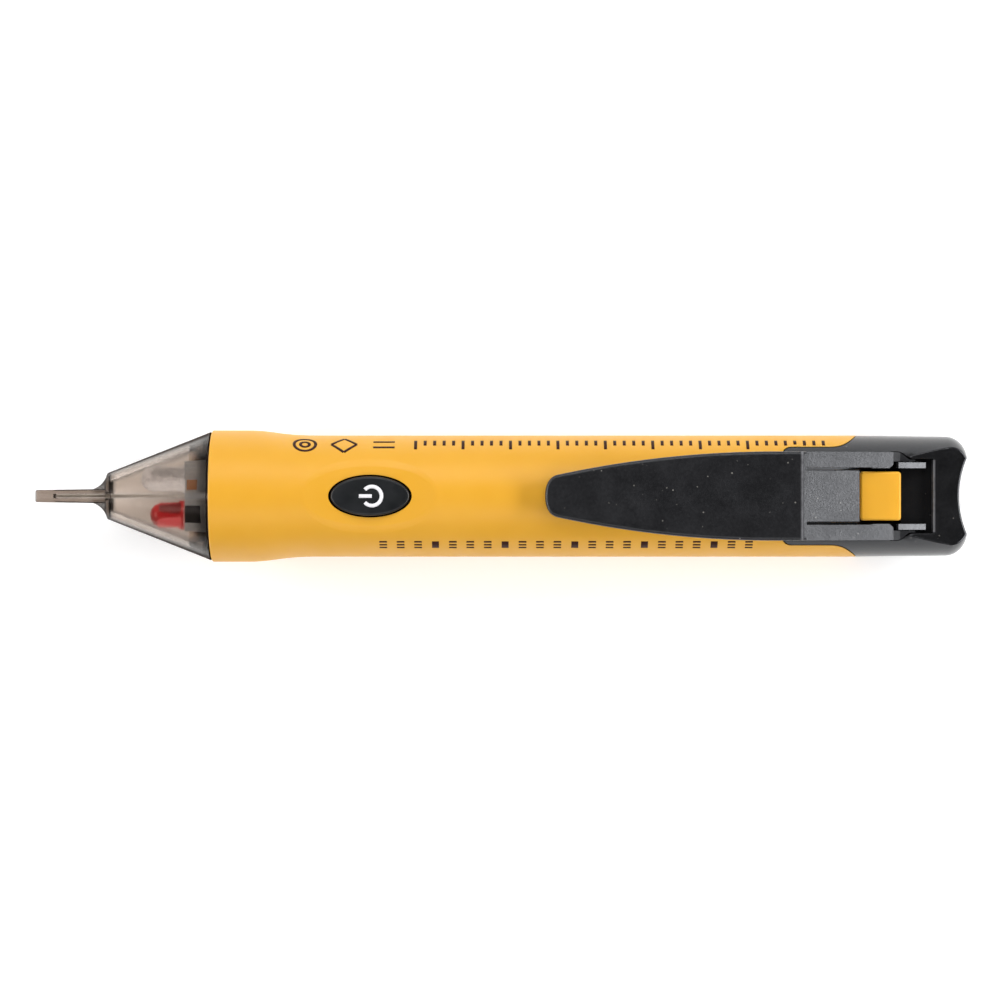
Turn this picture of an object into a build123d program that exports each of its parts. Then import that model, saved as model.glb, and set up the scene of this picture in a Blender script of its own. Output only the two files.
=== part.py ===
from build123d import *
import os
from math import cos, radians, sin, sqrt

os.makedirs("parts", exist_ok=True)

# Non contact voltage tester, pen shaped, in millimetres.
# It lies on its flat back with the pocket clip up: +X runs from the nib to the cap, +Z is up.
# Most sizes below are stations: distances from the nib's tip, along the barrel's axis.
# Heights are measured from the barrel's axis, which is AXIS_Z above the flat back.

# ---- the whole tester ----
LENGTH = 148.0
AXIS_Z = 9.06
BODY_R = 9.665
COLLAR_R = 10.475
RUN_GAP = 0.15  # between the cap and the spigot that it slides on
SEAM = 0.12  # open line between two neighbouring shells

# ---- barrel ----
COLLAR_START = 28.0
COLLAR_FLAT_END = 33.8
TAPER_END = 45.2
SEAT_R = 8.85
SEAT_END = 32.2
FRONT_BORE_R = 7.9
FRONT_BORE_END = 66.0
BORE_R = 7.4
SHOULDER = 130.5
SPIGOT_R = 8.25
SPIGOT_END = 141.0
TROUGH_START = 130.1
TROUGH_H = 3.4

# ---- power button and its dish ----
BUTTON_S = 53.4
HOLE_X, HOLE_Y = 6.575, 3.375
BUTTON_X, BUTTON_Y = 6.25, 3.1
DISH_HALF_LENGTH = 10.5
DISH_DEPTH = 1.0
DISH_CROWN_R = 24.3
DISH_ROUND = 3.0
BUTTON_TOP = 9.45
FLANGE_LOW, FLANGE_TOP = 6.0, 6.6

# ---- lens and nib ----
NIB_HALF_HEIGHT = 3.3
NIB_TIP_HALF, NIB_ROOT_HALF = 0.97, 1.13
NIB_ROUND = 0.25
CONE_START, CONE_START_R = 11.35, 3.7
CONE_END, CONE_END_R = 27.75, 10.22
LENS_WALL = 1.5
LENS_SPIGOT_R = 8.75
LENS_SPIGOT_BORE = 7.6
LENS_END = 32.0
CAVITY_START = 12.2

# ---- board and what is on it ----
BOARD_LOW, BOARD_TOP = 3.9, 4.9
BOARD_START, BOARD_END = 24.2, 64.0
BOARD_NARROW, BOARD_WIDE = 5.2, 5.8
RED_LED_Y, GREEN_LED_Y = -3.0, 2.7
LED_H = 0.6
LED_R = 2.0
SWITCH_TOP = 6.5
PLUNGER_R = 0.8
PLUNGER_TOP = 7.0
PLUNGER_GAP = 0.32  # from the plunger's top to the button's post

# ---- batteries, AAA ----
CELL_R, CELL_LENGTH = 5.25, 44.5
NUB_R, NUB_LENGTH = 1.9, 1.0
CELL_H = -2.1
CELLS_START = 51.6

# ---- cap ----
TONGUE_START = 118.2
TONGUE_HALF = 7.8
SWEEP_START = 126.0
SLOT_HALF = 4.15
CAP_BORE_END = 141.3
CHAMBER_R, CHAMBER_END = 7.0, 145.0
WINDOW_END = 137.2
POCKET_HALF, POCKET_TAIL_HALF = 7.05, 5.85
POCKET_BEND, POCKET_BEND_END, POCKET_END = 136.4, 138.9, 142.2
POCKET_FLOOR = 5.0
DECK_H, DECK_S, DECK_SLOPE = 7.8, 136.5, 0.2609
DECK_TILT = DECK_SLOPE / sqrt(1 + DECK_SLOPE**2)
SCOOP_R, SCOOP_DEPTH = 14.6, 1.55
RIB_IN, RIB_OUT = 4.4, 5.3
RIB_START, RIB_END = 136.15, 141.2
RIB_DROP = 0.8  # the ribs' tops lie this far below the ramp's plane
CAP_ROUND = 0.3
PIVOT_S, PIVOT_H, PIVOT_R = 138.2, 6.0, 0.6

# ---- clip ----
CLIP_TIP = 80.9
RIDGE_S, RIDGE_H = 120.9, 15.94
TIP_H = 12.16
BLADE_FRONT, BLADE_MIDDLE = (82.9, 3.35), (97.0, 5.75)
BLADE_ROUND = 0.5
RIDGE_ROUND = 0.8
RAMP_SLOPE = 0.4557
ARM_OUT, ARM_IN = 6.92, 4.5
STRIP_HALF = 4.1
ARM_END = 135.7
TAIL_END = 139.3
ARM_DROP = 0.6  # the arms lie this far below the centre strip's surface
RAMP_TILT = RAMP_SLOPE / sqrt(1 + RAMP_SLOPE**2)
RAMP_THICK = 1.9  # measured straight down
STRIP_END = 130.05

# ---- latch finger ----
FINGER_START = 118.42
FINGER_HALF, FINGER_LOW, FINGER_TOP = 2.8, 7.5, 8.6
TAB_START, TAB_END, TAB_HALF = 130.4, 136.9, 3.85
TAB_LOW, TAB_TOP = 6.5, 9.2

BARREL_AXIS = Axis((0, 0, AXIS_Z), (1, 0, 0))
FLAT_BACK = Plane.XY


def side(y=0.0):
    """Upright lengthwise plane: local x is the station, local y the height above the axis."""
    return Plane(origin=(-LENGTH / 2, y, AXIS_Z), x_dir=(1, 0, 0), z_dir=(0, -1, 0))


def level(h):
    """Horizontal plane at a height above the axis: local x is the station, local y is Y."""
    return Plane(origin=(-LENGTH / 2, 0, AXIS_Z + h), x_dir=(1, 0, 0), z_dir=(0, 0, 1))


def across(s):
    """Plane across the barrel at a station: local x is Y, local y the height above the axis."""
    return Plane(origin=(s - LENGTH / 2, 0, AXIS_Z), x_dir=(0, 1, 0), z_dir=(1, 0, 0))


def lengthwise_axis(y, h):
    """An axis parallel to the barrel's."""
    return Axis((0, y, AXIS_Z + h), (1, 0, 0))


def save(piece, name):
    """Label a finished piece and write it to its own file."""
    piece.part.label = name
    export_step(piece.part, f"parts/{name}.step")


def ramp(s):
    """Height of the clip's ramp surface behind the ridge."""
    return RIDGE_H - (s - RIDGE_S) * RAMP_SLOPE


def deck(s):
    """Height of the cap's sloping rear deck."""
    return DECK_H - (s - DECK_S) * DECK_SLOPE


def round_y(h, r=BODY_R):
    """Half width of a round section at a height above its centre."""
    return sqrt(r * r - h * h)


# ======================================================================================
# Barrel
# ======================================================================================

def tongue_outline(gap):
    """Plan outline of the cap's tongue, which widens through an S-bend to the cap's full width.

    The gap pulls it in all round, so the same outline cuts the barrel and shapes the cap.
    """
    with BuildSketch() as outline:
        with BuildLine():
            half = TONGUE_HALF - gap
            front = TONGUE_START + gap
            bend = Bezier(
                (SWEEP_START + gap, half),
                (SWEEP_START + gap + 2.0, half),
                (SWEEP_START + gap + 2.9, half + 0.75),
                (SHOULDER + gap, BODY_R),
            )
            Line((front, 0), (front, half - 1.6))
            RadiusArc((front, half - 1.6), (front + 1.6, half), 1.6)
            Line((front + 1.6, half), bend @ 0)
            Polyline(bend @ 1, (SHOULDER + gap + 2.0, BODY_R + 2.0), (LENGTH, BODY_R + 2.0), (LENGTH, 0))
            Line((LENGTH, 0), (front, 0))
        make_face()
        mirror(about=Plane.XZ)
    return outline.sketch


with BuildPart() as tongue_room:
    with BuildSketch(level(0)):
        add(tongue_outline(0.0))
    extrude(amount=12)
    with BuildSketch(across(100)):
        Circle(SPIGOT_R)
    extrude(amount=50, mode=Mode.SUBTRACT)

# Rolling a wide shallow wheel across the barrel leaves the dish around the button.
wheel_r = DISH_HALF_LENGTH**2 / (2 * DISH_DEPTH)
dish_floor = BODY_R - DISH_DEPTH
dish_edge = DISH_CROWN_R - sqrt(DISH_CROWN_R**2 - 7.0**2)
with BuildPart() as dish_wheel:
    with BuildSketch(across(BUTTON_S)):
        with BuildLine():
            ThreePointArc((-7, dish_floor - dish_edge), (0, dish_floor), (7, dish_floor - dish_edge))
            Polyline(
                (7, dish_floor - dish_edge),
                (7, dish_floor + wheel_r),
                (-7, dish_floor + wheel_r),
                (-7, dish_floor - dish_edge),
            )
        make_face()
    wheel_axis = Axis((BUTTON_S - LENGTH / 2, 0, AXIS_Z + dish_floor + wheel_r), (0, 1, 0))
    revolve(axis=wheel_axis)

with BuildPart() as barrel:
    with BuildSketch(side()):
        with BuildLine():
            Polyline((COLLAR_START, SEAT_R), (COLLAR_START, COLLAR_R - 0.3))
            RadiusArc((COLLAR_START, COLLAR_R - 0.3), (COLLAR_START + 0.3, COLLAR_R), 0.3)
            Line((COLLAR_START + 0.3, COLLAR_R), (COLLAR_FLAT_END, COLLAR_R))
            Bezier((COLLAR_FLAT_END, COLLAR_R), (38.0, COLLAR_R), (38.5, BODY_R), (TAPER_END, BODY_R))
            Polyline(
                (TAPER_END, BODY_R),
                (SHOULDER, BODY_R),
                (SHOULDER, SPIGOT_R),
                (SPIGOT_END, SPIGOT_R),
                (SPIGOT_END, BORE_R),
                (FRONT_BORE_END, BORE_R),
                (FRONT_BORE_END - 0.5, FRONT_BORE_R),
                (SEAT_END, FRONT_BORE_R),
                (SEAT_END, SEAT_R),
                (COLLAR_START, SEAT_R),
            )
        make_face()
    revolve(axis=BARREL_AXIS)
    split(bisect_by=FLAT_BACK, keep=Keep.TOP)
    add(dish_wheel.part, mode=Mode.SUBTRACT)
    # the button's hole
    with BuildSketch(level(5)):
        with Locations((BUTTON_S, 0)):
            Ellipse(HOLE_X, HOLE_Y)
    extrude(amount=8, mode=Mode.SUBTRACT)
    # room for the cap's tongue, and the open trough under the cap
    add(tongue_room.part, mode=Mode.SUBTRACT)
    with BuildSketch(level(TROUGH_H)):
        with Locations((TROUGH_START + 10, 0)):
            Rectangle(20, 2 * SPIGOT_R)
    extrude(amount=8, mode=Mode.SUBTRACT)
    # slot for the latch finger
    with BuildSketch(level(TROUGH_H)):
        with Locations(((TONGUE_START + TROUGH_START + 1) / 2, 0)):
            Rectangle(TROUGH_START + 1 - TONGUE_START, 2 * FINGER_HALF + 0.6)
    extrude(amount=8, mode=Mode.SUBTRACT)
    dish = barrel.faces().filter_by(GeomType.TORUS).sort_by(SortBy.AREA)[-1]
    fillet(dish.outer_wire().edges(), DISH_ROUND)
save(barrel, "barrel")


# ======================================================================================
# Lens, antenna and lamps
# ======================================================================================

def cone_r(s):
    """Outer radius of the cone at a station."""
    return CONE_START_R + (s - CONE_START) * (CONE_END_R - CONE_START_R) / (CONE_END - CONE_START)


with BuildPart() as nib:
    with BuildSketch(side()):
        with BuildLine():
            FilletPolyline(
                (CONE_START, -NIB_HALF_HEIGHT),
                (0, -NIB_HALF_HEIGHT),
                (0, NIB_HALF_HEIGHT),
                (CONE_START, NIB_HALF_HEIGHT),
                radius=1.3,
            )
            Line((CONE_START, NIB_HALF_HEIGHT), (CONE_START, -NIB_HALF_HEIGHT))
        make_face()
    extrude(amount=3, both=True)
    with BuildSketch(level(0)):
        with BuildLine():
            FilletPolyline(
                (CONE_START, -NIB_ROOT_HALF),
                (0, -NIB_TIP_HALF),
                (0, NIB_TIP_HALF),
                (CONE_START, NIB_ROOT_HALF),
                radius=0.3,
            )
            Line((CONE_START, NIB_ROOT_HALF), (CONE_START, -NIB_ROOT_HALF))
        make_face()
    extrude(amount=5, both=True, mode=Mode.INTERSECT)
    back = nib.faces().sort_by(Axis.X)[-1]
    fillet(nib.edges() - back.edges(), NIB_ROUND)

cavity_end = CONE_START + (LENS_SPIGOT_BORE + LENS_WALL - CONE_START_R) / (
    (CONE_END_R - CONE_START_R) / (CONE_END - CONE_START)
)
with BuildPart() as sensor_lens:
    with BuildSketch(side()):
        with BuildLine():
            Line((8.9, 0), (8.9, 1.1))
            ThreePointArc((8.9, 1.1), (10.35, 2.0), (CONE_START - 0.1, CONE_START_R - 0.1))
            Polyline(
                (CONE_START - 0.1, CONE_START_R - 0.1),
                (CONE_START, CONE_START_R),
                (CONE_END, CONE_END_R),
                (CONE_END, LENS_SPIGOT_R),
                (LENS_END, LENS_SPIGOT_R),
                (LENS_END, LENS_SPIGOT_BORE),
                (cavity_end, LENS_SPIGOT_BORE),
                (CAVITY_START, cone_r(CAVITY_START) - LENS_WALL),
                (CAVITY_START, 0),
                (8.9, 0),
            )
        make_face()
    revolve(axis=BARREL_AXIS)
    add(nib.part)
    split(bisect_by=FLAT_BACK, keep=Keep.TOP)
    # slit in the nib for the antenna, open to the cavity
    with BuildSketch(side()):
        with BuildLine():
            slit_end = CAVITY_START + 0.1
            Polyline((2.9, -1.9), (2.9, 1.9), (slit_end, 1.9), (slit_end, -1.9), close=True)
        make_face()
    extrude(amount=0.35, both=True, mode=Mode.SUBTRACT)
save(sensor_lens, "sensor_lens")

with BuildPart() as antenna_strip:
    with BuildSketch(side()):
        with BuildLine():
            Polyline(
                (3.3, -1.6),
                (3.3, 1.6),
                (CAVITY_START, 1.6),
                (21.0, 2.4),
                (24.6, BOARD_LOW),
                (27.8, BOARD_LOW),
                (27.8, 2.2),
                (24.4, -0.6),
                (14.0, -1.6),
                close=True,
            )
        make_face()
    extrude(amount=0.2, both=True)
save(antenna_strip, "antenna_strip")


def bullet_lamp(tip, base, y):
    """A round-nosed lamp lying along the barrel, with a rim at its base."""
    with BuildPart() as lamp:
        with BuildSketch(side(y)):
            with BuildLine():
                RadiusArc((tip, LED_H), (tip + LED_R, LED_H + LED_R), LED_R)
                Polyline(
                    (tip + LED_R, LED_H + LED_R),
                    (base - 0.8, LED_H + LED_R),
                    (base - 0.8, LED_H + LED_R + 0.3),
                    (base, LED_H + LED_R + 0.3),
                    (base, LED_H),
                    (tip, LED_H),
                )
            make_face()
        revolve(axis=lengthwise_axis(y, LED_H))
    return lamp


red_led = bullet_lamp(18.3, 23.8, RED_LED_Y)
save(red_led, "red_led")
green_led = bullet_lamp(16.9, 24.4, GREEN_LED_Y)
save(green_led, "green_led")

# Two wires leave each lamp's base and turn up into the board.
with BuildPart() as led_leads:
    for base, lamp_y in ((23.8, RED_LED_Y), (24.4, GREEN_LED_Y)):
        for pin in (-0.65, 0.65):
            with BuildLine(side(lamp_y + pin)) as wire:
                FilletPolyline((base, LED_H), (base + 2.6, LED_H), (base + 2.6, BOARD_LOW), radius=0.9)
            with BuildSketch(Plane(origin=wire.line @ 0, z_dir=wire.line % 0)):
                Circle(0.22)
            sweep()
save(led_leads, "led_leads")


# ======================================================================================
# Circuit board and the parts on it
# ======================================================================================

with BuildPart() as circuit_board:
    with BuildSketch(level(BOARD_LOW)):
        with BuildLine():
            Polyline(
                (BOARD_START, 0),
                (BOARD_START, BOARD_NARROW),
                (LENS_END + 0.5, BOARD_NARROW),
                (LENS_END + 0.5, BOARD_WIDE),
                (BOARD_END, BOARD_WIDE),
                (BOARD_END, 0),
                close=True,
            )
        make_face()
        mirror(about=Plane.XZ)
    extrude(amount=BOARD_TOP - BOARD_LOW)
save(circuit_board, "circuit_board")


def block(s, y, low, size):
    """An upright block centred on a station and a Y, standing on a height."""
    with BuildSketch(level(low)) as base:
        with Locations((s, y)):
            Rectangle(size[0], size[1])
    extrude(base.sketch, amount=size[2])


with BuildPart() as driver_transistor:
    block(25.7, -2.7, BOARD_TOP, (2.8, 2.5, 1.1))
save(driver_transistor, "driver_transistor")

with BuildPart() as supply_capacitor:
    block(25.6, 1.7, BOARD_TOP, (2.0, 1.5, 1.1))
save(supply_capacitor, "supply_capacitor")

CHIP_S, CHIP_LONG, CHIP_WIDE = 39.0, 4.9, 3.9
with BuildPart() as controller_chip:
    block(CHIP_S, 0, BOARD_TOP + 0.15, (CHIP_LONG, CHIP_WIDE, 1.4))
save(controller_chip, "controller_chip")

# Four legs on each side of the chip: a foot on the board and a riser against the chip's flank.
with BuildPart() as chip_leads:
    for turn in (-1, 1):
        for count in range(4):
            leg_s = CHIP_S + (count - 1.5) * 1.2
            foot_y = turn * (CHIP_WIDE / 2 + 0.55)
            block(leg_s, foot_y, BOARD_TOP, (0.4, 1.1, 0.18))
            block(leg_s, turn * (CHIP_WIDE / 2 + 0.1), BOARD_TOP, (0.4, 0.2, 0.85))
save(chip_leads, "chip_leads")

# Small surface-mount parts in two rows, and a crystal-sized block behind the switch.
with BuildPart() as board_parts:
    for count in range(3):
        block(29.2 + count * 2.4, -3.0, BOARD_TOP, (1.6, 0.8, 0.5))
        block(29.2 + count * 2.4, 3.0, BOARD_TOP, (1.6, 0.8, 0.5))
    for count in range(3):
        block(31.0, -1.2 + count * 1.2, BOARD_TOP, (1.0, 0.6, 0.45))
    for row_y in (-3.9, 3.9):
        block(45.0, row_y, BOARD_TOP, (1.0, 1.6, 0.5))
    block(62.2, 0, BOARD_TOP, (2.0, 3.2, 1.0))
save(board_parts, "board_parts")

with BuildPart() as buzzer:
    with BuildSketch(level(0.7)):
        with Locations((40.0, 0)):
            Circle(4.5)
    extrude(amount=BOARD_LOW - 0.7)
    fillet(buzzer.edges().filter_by(GeomType.CIRCLE).sort_by(Axis.Z)[0], 0.4)
    with BuildSketch(level(0.7)):
        with Locations((40.0, 0)):
            Circle(0.8)
    extrude(amount=1.2, mode=Mode.SUBTRACT)
save(buzzer, "buzzer")

with BuildPart() as switch_body:
    block(BUTTON_S, 0, BOARD_TOP, (4.0, 3.0, SWITCH_TOP - BOARD_TOP))
    chamfer(switch_body.edges().filter_by(Axis.Z), 0.3)
    with BuildSketch(level(SWITCH_TOP - 0.5)):
        with Locations((BUTTON_S, 0)):
            Circle(PLUNGER_R + 0.07)
    extrude(amount=1, mode=Mode.SUBTRACT)
save(switch_body, "switch_body")

with BuildPart() as switch_plunger:
    with BuildSketch(level(SWITCH_TOP - 0.15)):
        with Locations((BUTTON_S, 0)):
            Circle(PLUNGER_R)
    extrude(amount=PLUNGER_TOP - SWITCH_TOP + 0.15)
save(switch_plunger, "switch_plunger")

# The button is a domed cap with a flange that holds it under the barrel's wall and a centre post.
with BuildPart() as power_button:
    with BuildSketch(level(FLANGE_LOW)):
        with Locations((BUTTON_S, 0)):
            Ellipse(BUTTON_X, BUTTON_Y)
    extrude(amount=BUTTON_TOP - FLANGE_LOW)
    with BuildSketch(side()):
        with BuildLine():
            drop = 40 - sqrt(40**2 - 8**2)
            ThreePointArc(
                (BUTTON_S - 8, BUTTON_TOP - drop), (BUTTON_S, BUTTON_TOP), (BUTTON_S + 8, BUTTON_TOP - drop)
            )
            Polyline(
                (BUTTON_S + 8, BUTTON_TOP - drop),
                (BUTTON_S + 8, FLANGE_LOW),
                (BUTTON_S - 8, FLANGE_LOW),
                (BUTTON_S - 8, BUTTON_TOP - drop),
            )
        make_face()
    extrude(amount=6, both=True, mode=Mode.INTERSECT)
    fillet(power_button.edges().group_by(Axis.Z)[-1], 0.4)
    with BuildSketch(level(FLANGE_LOW)):
        with Locations((BUTTON_S, 0)):
            Ellipse(7.1, 3.9)
    extrude(amount=FLANGE_TOP - FLANGE_LOW)
    with BuildSketch(level(FLANGE_LOW)):
        with Locations((BUTTON_S, 0)):
            Ellipse(5.1, 2.15)
    extrude(amount=1.9, mode=Mode.SUBTRACT)
    with BuildSketch(level(PLUNGER_TOP + PLUNGER_GAP)):
        with Locations((BUTTON_S, 0)):
            Circle(1.0)
    extrude(amount=1.0)
save(power_button, "power_button")


# ======================================================================================
# Inner frame, contacts and batteries
# ======================================================================================

CARRIER_R = FRONT_BORE_R - SEAM
CARRIER_START, CARRIER_END, WEB = 32.4, 50.4, 1.4
with BuildPart() as board_carrier:
    with BuildSketch(across(CARRIER_START)):
        Circle(CARRIER_R)
    extrude(amount=CARRIER_END - CARRIER_START)
    # open the middle, and leave a cross web at each end
    with BuildSketch(level(-12)):
        with Locations(((CARRIER_START + CARRIER_END) / 2, 0)):
            Rectangle(CARRIER_END - CARRIER_START - 2 * WEB, 10.2)
    extrude(amount=24, mode=Mode.SUBTRACT)
    # the board lies on the rails, and the lamps' wires pass over the low front web
    with BuildSketch(level(BOARD_LOW)):
        with Locations(((CARRIER_START + CARRIER_END) / 2, 0)):
            Rectangle(30, 20)
    extrude(amount=12, mode=Mode.SUBTRACT)
    with BuildSketch(level(-0.5)):
        with Locations((CARRIER_START + WEB / 2, 0)):
            Rectangle(WEB, 10.2)
    extrude(amount=12, mode=Mode.SUBTRACT)
    # trim the rails' undersides
    with BuildSketch(level(-2.5)):
        with Locations(((CARRIER_START + CARRIER_END) / 2, 0)):
            Rectangle(CARRIER_END - CARRIER_START - 2 * WEB, 20)
    extrude(amount=-12, mode=Mode.SUBTRACT)
save(board_carrier, "board_carrier")

with BuildPart() as front_contact:
    with BuildSketch(across(CARRIER_END)):
        with Locations((0, (CELL_H - 3.2 + BOARD_LOW) / 2)):
            Rectangle(5.2, BOARD_LOW - CELL_H + 3.2)
    extrude(amount=0.3)
    with BuildSketch(across(CARRIER_END + 0.3)):
        with Locations((0, CELL_H)):
            Circle(1.7)
    extrude(amount=CELLS_START - CARRIER_END - 0.3)
    fillet(front_contact.edges().filter_by(GeomType.CIRCLE).sort_by(Axis.X)[-1], 0.4)
save(front_contact, "front_contact")


def dry_cell(start):
    """An AAA cell with its positive nub to the front."""
    with BuildPart() as cell:
        with BuildSketch(across(start)):
            with Locations((0, CELL_H)):
                Circle(NUB_R)
        extrude(amount=NUB_LENGTH)
        with BuildSketch(across(start + NUB_LENGTH)):
            with Locations((0, CELL_H)):
                Circle(CELL_R)
        extrude(amount=CELL_LENGTH - NUB_LENGTH)
        fillet(cell.edges().filter_by(GeomType.CIRCLE).filter_by(lambda e: e.radius > NUB_R + 1), 0.4)
    return cell


battery_front = dry_cell(CELLS_START)
save(battery_front, "battery_front")
battery_rear = dry_cell(CELLS_START + CELL_LENGTH)
save(battery_rear, "battery_rear")
CELLS_END = CELLS_START + 2 * CELL_LENGTH

# Flat strip along the bore's wall, with a foot turned in under the board.
STRIP_Y, STRIP_THICK = 6.15, 0.3
STRIP_FRONT, STRIP_BACK = 52.0, CHAMBER_END - 0.5
with BuildPart() as return_strip:
    with BuildSketch(side(STRIP_Y + STRIP_THICK / 2)):
        with BuildLine():
            Polyline(
                (STRIP_FRONT, -1.8),
                (STRIP_FRONT, BOARD_LOW),
                (STRIP_FRONT + 4, BOARD_LOW),
                (STRIP_FRONT + 4, 1.8),
                (STRIP_BACK, 1.8),
                (STRIP_BACK, -1.8),
                close=True,
            )
        make_face()
    extrude(amount=STRIP_THICK / 2, both=True)
    block(STRIP_FRONT + 2, STRIP_Y - 0.4, BOARD_LOW - STRIP_THICK, (4, 1.0, STRIP_THICK))
save(return_strip, "return_strip")


# ======================================================================================
# End cap, its contact and spring
# ======================================================================================

def pocket_outline(gap):
    """Plan outline of the pocket for the clip's root, narrowing through an S-bend."""
    with BuildSketch() as outline:
        with BuildLine():
            wide = POCKET_HALF - gap
            slim = POCKET_TAIL_HALF - gap
            bend = Bezier(
                (POCKET_BEND - gap, wide),
                (POCKET_BEND - gap + 1.3, wide),
                (POCKET_BEND_END - gap - 1.0, slim),
                (POCKET_BEND_END - gap, slim),
            )
            Polyline((TONGUE_START - 2, 0), (TONGUE_START - 2, wide), bend @ 0)
            Polyline(bend @ 1, (POCKET_END - gap, slim), (POCKET_END - gap, 0), (TONGUE_START - 2, 0))
        make_face()
        mirror(about=Plane.XZ)
    return outline.sketch


def arm_underside(s):
    """Height of the underside of the clip's arms."""
    return ramp(s) - RAMP_THICK


with BuildPart() as pocket:
    with BuildSketch(level(0)):
        add(pocket_outline(0.0))
    extrude(amount=14)
    step = 135.4
    with BuildSketch(side()):
        with BuildLine():
            Polyline(
                (129.0, arm_underside(129.0) - 0.25),
                (step, arm_underside(step) - 0.25),
                (step, POCKET_FLOOR),
                (POCKET_END + 1, POCKET_FLOOR),
                (POCKET_END + 1, 13),
                (129.0, 13),
                close=True,
            )
        make_face()
    extrude(amount=9, both=True, mode=Mode.INTERSECT)

with BuildPart() as tongue:
    with BuildSketch(level(0)):
        add(tongue_outline(SEAM))
    extrude(amount=12)
    with BuildSketch(across(TONGUE_START - 1)):
        Circle(BODY_R)
        Circle(SPIGOT_R + RUN_GAP, mode=Mode.SUBTRACT)
    extrude(amount=SHOULDER + 1.5 - TONGUE_START, mode=Mode.INTERSECT)


def slopes_back(face, tilt):
    """True for a flat face that faces up and leans to the rear by a tilt, as its normal's X."""
    flat = face.geom_type == GeomType.PLANE
    return flat and abs(face.normal_at().X - tilt) < 0.01 and face.normal_at().Z > 0


def is_deck(face):
    """True for a face that slopes as the cap's deck does."""
    return slopes_back(face, DECK_TILT)


with BuildPart() as end_cap:
    with BuildSketch(side()):
        with BuildLine():
            Polyline((SHOULDER + SEAM, 0), (SHOULDER + SEAM, BODY_R), (144.7, 9.5))
            RadiusArc((144.7, 9.5), (LENGTH, 6.3), 3.25)
            Polyline((LENGTH, 6.3), (LENGTH, 0), (SHOULDER + SEAM, 0))
        make_face()
    revolve(axis=BARREL_AXIS)
    # room for the spigot below, and for the batteries' spring behind it
    with BuildSketch(across(SHOULDER)):
        Circle(SPIGOT_R + RUN_GAP)
    extrude(amount=CAP_BORE_END - SHOULDER, mode=Mode.SUBTRACT)
    with BuildSketch(across(CAP_BORE_END)):
        Circle(CHAMBER_R)
    extrude(amount=CHAMBER_END - CAP_BORE_END, mode=Mode.SUBTRACT)
    with BuildSketch(across(SHOULDER + SEAM)):
        with BuildLine():
            cap_roof = TROUGH_H + RUN_GAP
            Line((-round_y(cap_roof, 9.0), cap_roof), (round_y(cap_roof, 9.0), cap_roof))
            ThreePointArc(
                (-round_y(cap_roof, 9.0), cap_roof), (0, 9.0), (round_y(cap_roof, 9.0), cap_roof)
            )
        make_face()
    extrude(amount=CHAMBER_END - SHOULDER - SEAM)
    add(tongue.part)
    # sloping deck, pocket, window for the tab, and the scooped rear end
    with BuildSketch(side()):
        with BuildLine():
            Polyline((126, deck(126)), (150, deck(150)), (150, 14), (126, 14), close=True)
        make_face()
    extrude(amount=12, both=True, mode=Mode.SUBTRACT)
    add(pocket.part, mode=Mode.SUBTRACT)
    for start, end, half in ((TONGUE_START - 2, STRIP_END, SLOT_HALF), (STRIP_END, WINDOW_END, RIB_IN)):
        with BuildSketch(level(TROUGH_H)):
            with Locations(((start + end) / 2, 0)):
                Rectangle(end - start, 2 * half)
        extrude(amount=10, mode=Mode.SUBTRACT)
    with BuildSketch(level(-12)):
        with Locations((LENGTH - SCOOP_DEPTH + SCOOP_R, 0)):
            Circle(SCOOP_R)
    extrude(amount=24, mode=Mode.SUBTRACT)
    # two ribs that carry the clip's pivots, with tops that carry on the ramp's slope
    for turn in (-1, 1):
        with BuildSketch(side(turn * (RIB_IN + RIB_OUT) / 2)) as rib:
            with BuildLine():
                Polyline(
                    (RIB_START, POCKET_FLOOR - 0.3),
                    (RIB_START, ramp(RIB_START) - RIB_DROP),
                    (RIB_END, ramp(RIB_END) - RIB_DROP),
                    (RIB_END, POCKET_FLOOR - 0.3),
                    close=True,
                )
            make_face()
            fillet(rib.vertices().sort_by(Axis.Y)[-2:], CAP_ROUND)
        extrude(amount=(RIB_OUT - RIB_IN) / 2, both=True)
    with BuildSketch(side()):
        with Locations((PIVOT_S, PIVOT_H)):
            Circle(PIVOT_R + 0.05)
    extrude(amount=RIB_OUT + 0.2, both=True, mode=Mode.SUBTRACT)
    split(bisect_by=FLAT_BACK, keep=Keep.TOP)
    deck_face = end_cap.faces().filter_by(is_deck).sort_by(SortBy.AREA)[-1]
    fillet(deck_face.edges(), CAP_ROUND)
save(end_cap, "end_cap")

with BuildPart() as cap_contact_plate:
    with BuildSketch(across(CHAMBER_END - 0.35)):
        Circle(CHAMBER_R - 0.1)
        with Locations((0, TROUGH_H + 5)):
            Rectangle(20, 10, mode=Mode.SUBTRACT)
    extrude(amount=0.35)
save(cap_contact_plate, "cap_contact_plate")

# Conical spring: its wide end sits on the plate and its narrow end presses on the rear battery.
# The wire is made of short straight runs, so that every face on it is a plain cylinder.
SPRING_WIRE, SPRING_TURNS, RUNS_PER_TURN = 0.3, 3, 20
SPRING_WIDE_R, SPRING_SLIM_R = 4.3, 2.5
SPRING_FRONT, SPRING_BACK = CELLS_END + 0.06, CHAMBER_END - 0.35


def spring_point(step):
    """Centre of the wire after a number of runs, counted from the plate."""
    share = step / (SPRING_TURNS * RUNS_PER_TURN)
    radius = SPRING_WIDE_R + (SPRING_SLIM_R - SPRING_WIDE_R) * share
    turn = radians(360 * step / RUNS_PER_TURN)
    rise = (SPRING_BACK - SPRING_FRONT - 2 * SPRING_WIRE) * share
    x = SPRING_BACK - SPRING_WIRE - rise - LENGTH / 2
    return (x, radius * cos(turn), AXIS_Z + CELL_H + radius * sin(turn))


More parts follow.
